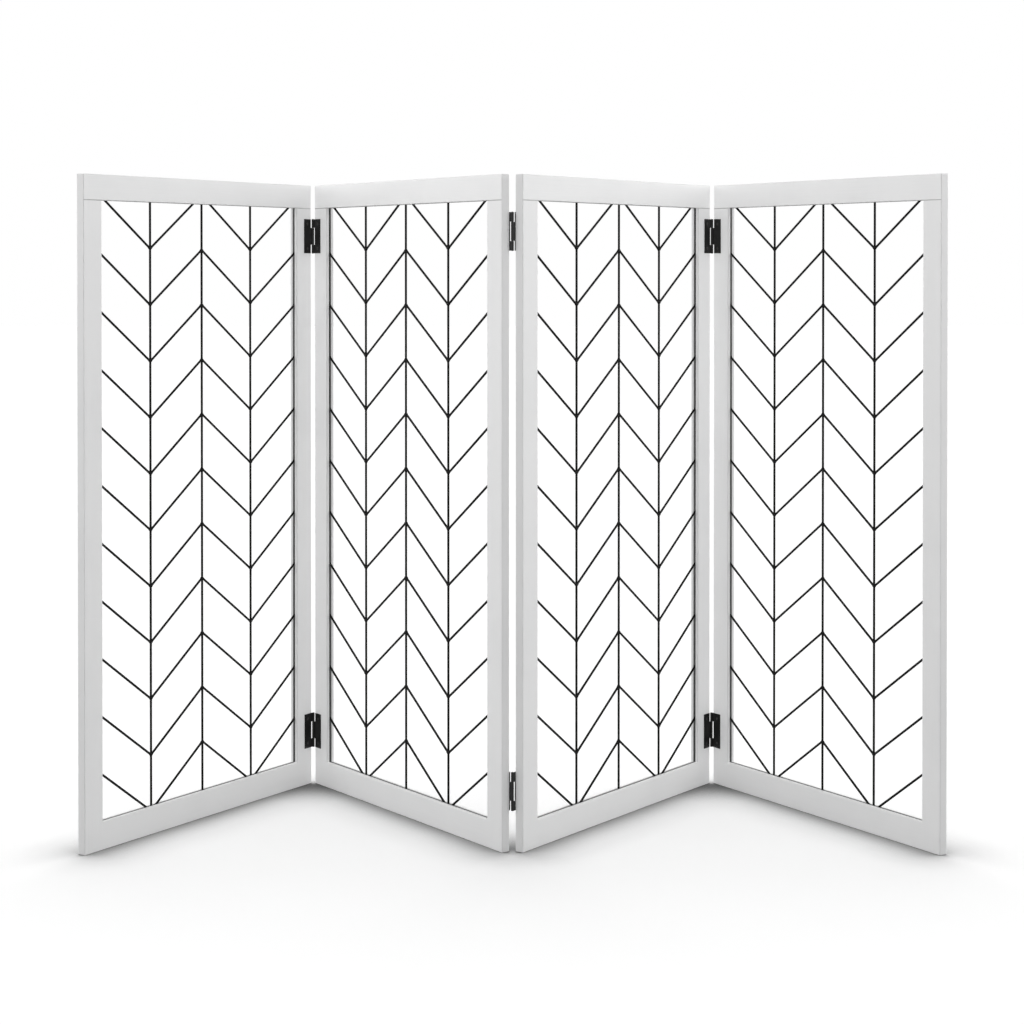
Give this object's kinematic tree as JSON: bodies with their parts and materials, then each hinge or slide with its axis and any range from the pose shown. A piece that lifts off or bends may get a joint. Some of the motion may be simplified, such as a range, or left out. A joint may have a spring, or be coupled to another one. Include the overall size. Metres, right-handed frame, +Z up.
{
  "type": "freestanding pet gate",
  "caption": "Freestanding folding pet gate: white wooden frames with a welded chevron wire grille, hinged together to stand in a zigzag.",
  "frame": {"origin": "middle of the gate's footprint on the floor, as it stands in the picture", "axes": "+X along the line of the gate, to the right as seen from the front; +Y towards the back; +Z up"},
  "size_m": [1.1658, 0.4394, 0.914],
  "materials": {
    "painted_wood": "satin white paint",
    "grille_wire": "semi-gloss black powder coat",
    "hinge_metal": "satin black",
    "screw_metal": "blackened steel",
    "dowel_wood": "plain beech"
  },
  "bodies": {
    "panel_1": {"panel_1_top_rail": "painted_wood", "panel_1_bottom_rail": "painted_wood", "panel_1_left_stile": "painted_wood", "panel_1_right_stile": "painted_wood", "panel_1_uprights": "grille_wire", "panel_1_chevron_wires": "grille_wire", "panel_1_border_wire": "grille_wire", "panel_1_dowels": "dowel_wood", "panel_1_hinge_screws": "screw_metal", "left_upper_hinge_one_knuckle_leaf": "hinge_metal", "left_lower_hinge_two_knuckle_leaf": "hinge_metal", "left_lower_hinge_pin": "hinge_metal"},
    "panel_2": {"panel_2_top_rail": "painted_wood", "panel_2_bottom_rail": "painted_wood", "panel_2_left_stile": "painted_wood", "panel_2_right_stile": "painted_wood", "panel_2_uprights": "grille_wire", "panel_2_chevron_wires": "grille_wire", "panel_2_border_wire": "grille_wire", "panel_2_dowels": "dowel_wood", "panel_2_hinge_screws": "screw_metal", "left_upper_hinge_two_knuckle_leaf": "hinge_metal", "left_upper_hinge_pin": "hinge_metal", "left_lower_hinge_one_knuckle_leaf": "hinge_metal", "centre_upper_hinge_two_knuckle_leaf": "hinge_metal", "centre_upper_hinge_pin": "hinge_metal", "centre_lower_hinge_one_knuckle_leaf": "hinge_metal"},
    "panel_3": {"panel_3_top_rail": "painted_wood", "panel_3_bottom_rail": "painted_wood", "panel_3_left_stile": "painted_wood", "panel_3_right_stile": "painted_wood", "panel_3_uprights": "grille_wire", "panel_3_chevron_wires": "grille_wire", "panel_3_border_wire": "grille_wire", "panel_3_dowels": "dowel_wood", "panel_3_hinge_screws": "screw_metal", "centre_upper_hinge_one_knuckle_leaf": "hinge_metal", "centre_lower_hinge_two_knuckle_leaf": "hinge_metal", "centre_lower_hinge_pin": "hinge_metal", "right_upper_hinge_two_knuckle_leaf": "hinge_metal", "right_upper_hinge_pin": "hinge_metal", "right_lower_hinge_one_knuckle_leaf": "hinge_metal"},
    "panel_4": {"panel_4_top_rail": "painted_wood", "panel_4_bottom_rail": "painted_wood", "panel_4_left_stile": "painted_wood", "panel_4_right_stile": "painted_wood", "panel_4_uprights": "grille_wire", "panel_4_chevron_wires": "grille_wire", "panel_4_border_wire": "grille_wire", "panel_4_dowels": "dowel_wood", "panel_4_hinge_screws": "screw_metal", "right_upper_hinge_one_knuckle_leaf": "hinge_metal", "right_lower_hinge_two_knuckle_leaf": "hinge_metal", "right_lower_hinge_pin": "hinge_metal"}
  },
  "joints": [
    {"name": "left_fold", "type": "hinge", "parent": "panel_2", "child": "panel_1", "pos_m": [-0.30468, 0.21368, 0.457], "axis": [0, 0, -1], "range_deg": [-66, 114]},
    {"name": "centre_fold", "type": "hinge", "parent": "panel_2", "child": "panel_3", "pos_m": [0, -0.20085, 0.457], "axis": [0, 0, -1], "range_deg": [-69, 111]},
    {"name": "right_fold", "type": "hinge", "parent": "panel_3", "child": "panel_4", "pos_m": [0.30468, 0.21368, 0.457], "axis": [0, 0, 1], "range_deg": [-66, 114]}
  ]
}
